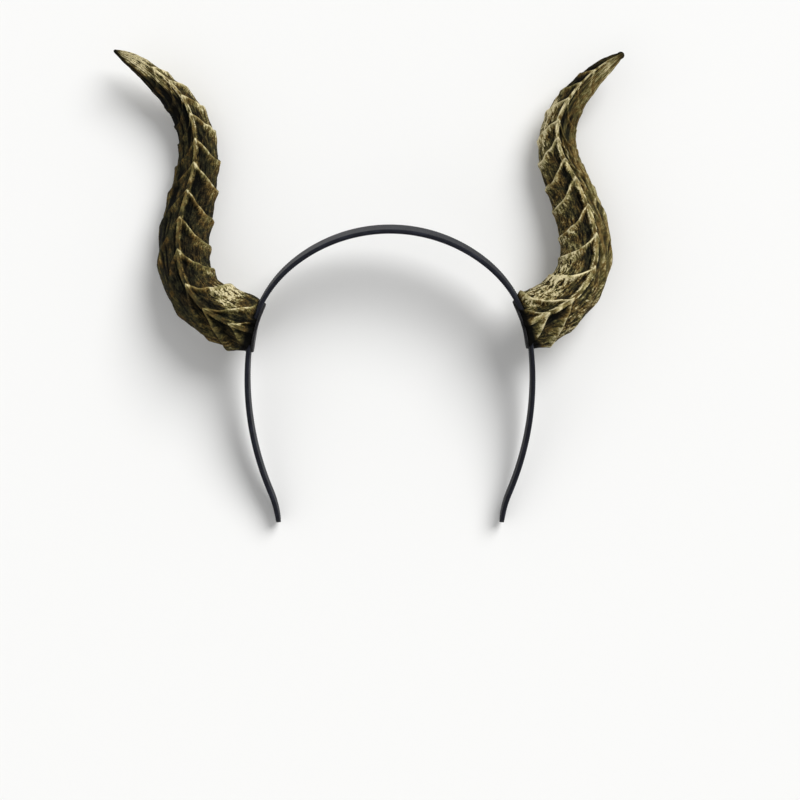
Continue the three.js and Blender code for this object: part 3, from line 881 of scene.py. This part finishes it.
def cut_foot(piece):
    """Cuts a horn's foot to the hoop's inner face, and a groove through it for the hoop."""
    stations = np.linspace(-hoop_half * CUT_SPAN, hoop_half * CUT_SPAN, CUT_STATIONS)
    outline = strip_outline(corner_steps=3, face_steps=1)
    strip, _ = strip_rings(stations, GROOVE_GAP, GROOVE_CORNER, outline, lambda d, a: 0 * d * a)
    x, y = hoop_point(stations, -HOOP_THICKNESS / 2)
    block = np.stack([stand_up(x, y, 0 * x - CUT_REACH), stand_up(x, y, 0 * x + CUT_REACH)])
    for name, rings in (("groove", strip), ("inside_hoop", block)):
        cutter = skin(name, rings + hoop_shift)
        recalculate(cutter)
        cut = piece.modifiers.new(name, "BOOLEAN")
        cut.operation = "DIFFERENCE"
        cut.solver = "MANIFOLD"
        cut.object = cutter
    bpy.context.view_layer.update()
    evaluated = piece.evaluated_get(bpy.context.evaluated_depsgraph_get())
    trimmed = bpy.data.meshes.new_from_object(evaluated)
    cutters = [cut.object for cut in piece.modifiers]
    piece.modifiers.clear()
    trimmed.materials.clear()
    piece.data = trimmed
    for cutter in cutters:
        bpy.data.objects.remove(cutter)


def paint_finish(start):
    bark = start.attribute("bark", 1)
    gold = start.attribute("gold", 2)
    smooth = start.attribute("smooth", 2)
    streaks = bark.stretched((1.0, 1.0, 0.28)).noise(PAINT_STREAK_SIZE, 2.0, 0.6)
    specks = bark.noise(PAINT_SPECK_SIZE, 2.0, 0.6)
    patches = bark.noise(PAINT_PATCH_SIZE, 3.0)
    crisp = (streaks.step(0.4, 0.6) - 0.5) * 0.7 + (specks.step(0.4, 0.6) - 0.5) * 0.4
    soft = (streaks - 0.5) * 1.7 + (specks - 0.5) * 1.1 + (patches - 0.5) * 1.2
    grain = soft + crisp * gold.step(0.1, 0.65)
    brushed_gold = gold + grain * (0.10 + gold * 0.85) * (1 - smooth)
    paint = start.node("ShaderNodeValToRGB", {"stops": GOLD_STOPS}, {"Fac": brushed_gold})
    drift = bark.noise(PAINT_DRIFT_SIZE, 2.0).step(0.4, 0.62).mix(OLIVE_TINT, RUST_TINT)
    thin = 1 - brushed_gold.step(0.5, 0.9)
    tinted = paint.times(drift, thin * 0.6)
    rusted = tinted.times(RUST_TINT, start.attribute("rust", 2) * thin * 0.8)
    metal = brushed_gold.step(0.45, 0.85)
    height = (streaks + specks * 0.8) * (1 - smooth) + metal * 0.15
    return {
        "Base Color": rusted,
        "Roughness": 0.72 - metal * 0.2,
        "Metallic": metal * 0.3,
        "Normal": height.bump(PAINT_HEIGHT, 0.9),
    }


def horn(name):
    points, marks = horn_surface(name)
    piece = skin("brushed_horn_" + name, points, marks)
    recalculate(piece)
    cut_foot(piece)
    piece.data.materials.append(horn_paint)
    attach(piece, "root")
    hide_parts("horn_" + name)


horn_paint = finish("dry_brushed_gold_and_painted_light", {"Specular IOR Level": 0.05}, paint_finish)
horn("right")
horn("left")

# Felt pads
# Oval discs of thin black felt, cut with shears and glued over the hoop on the foot of each horn.
# They hold the hoop in its groove and cover the foam where it would press.
PAD_THICKNESS = 0.0015
PAD_INSET = 0.0012  # breadth of the foot's rim left bare round the pad
PAD_GLUE = 0.00008
PAD_COLUMNS = 140
# The disc's rings: sizes of those on its faces, and sizes and depths of those round its edge.
PAD_ROUNDS = [0.15, 0.3, 0.45, 0.6, 0.75, 0.88, 0.96]
PAD_EDGE = [(1.0, 0.12), (1.0, 0.4), (0.995, 0.65), (0.985, 0.85), (0.97, 0.95), (0.955, 1.0)]
FELT_FUZZ = 0.00009
# The sizes of the felt's features.
FUZZ_SIZE = 0.0009
WAVE_SIZE = 0.0028
FIBRE_SIZE = 0.0007
FIBRE_HEIGHT = 0.0003
HAIR_SIZE = 0.0005
DUST_SIZE = 0.004
FELT_BLACK = (0.008, 0.008, 0.009, 1.0)
FELT_GREY = (0.032, 0.031, 0.034, 1.0)


def felt_finish(start):
    flat = start.attribute("weave", 1)
    fibres = flat.noise(FIBRE_SIZE, 5.0, 0.75)
    hairs = flat.stretched((0.3, 1.0, 1.0)).noise(HAIR_SIZE, 3.0)
    dust = flat.noise(DUST_SIZE, 3.0).step(0.45, 0.8)
    grey = (fibres * 0.6 + hairs * 0.4 + dust * 0.15).step(0.42, 0.75)
    return {
        "Base Color": grey.mix(FELT_BLACK, FELT_GREY),
        "Normal": (fibres + hairs).bump(FIBRE_HEIGHT, 0.8),
    }


def pad(name):
    horn = HORNS[name]
    foot = horn["foot_breadth"] * FOOT_RIM_SHARE
    turn = np.linspace(0, 2 * math.pi, PAD_COLUMNS, endpoint=False)
    layers = [(size, 0.0) for size in PAD_ROUNDS] + PAD_EDGE
    layers += [(size * PAD_EDGE[-1][0], 1.0) for size in PAD_ROUNDS[::-1]]
    size, depth = (np.array(values)[:, None] for values in zip(*layers))
    along = size * (foot / 2 - PAD_INSET) * np.cos(turn)
    across = size * (foot * HORN_DEPTH_SHARE / 2 - PAD_INSET) * np.sin(turn)
    weave = np.stack([along, across, 0 * along + depth * PAD_THICKNESS + horn["seed"]], -1)
    fuzz = FELT_FUZZ * (cloud(weave, FUZZ_SIZE, 3.0) + 0.6 * cloud(weave, WAVE_SIZE, 8.0))
    proud = fuzz * smoothstep(0.0, 0.5, depth)
    x, y = hoop_point(
        (horn["seat"] * hoop_half + along) * horn["side"],
        -HOOP_THICKNESS / 2 - PAD_GLUE - depth * PAD_THICKNESS - proud,
    )
    piece = skin("felt_pad_" + name, stand_up(x, y, across + 0 * x) + hoop_shift, {"weave": weave})
    recalculate(piece)
    piece.data.materials.append(felt)
    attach(piece, "root")
    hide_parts("pad_" + name)


felt = finish(
    "black_felt",
    {"Roughness": 0.95, "Specular IOR Level": 0.15, "Sheen Weight": 0.15},
    felt_finish,
)
pad("right")
pad("left")

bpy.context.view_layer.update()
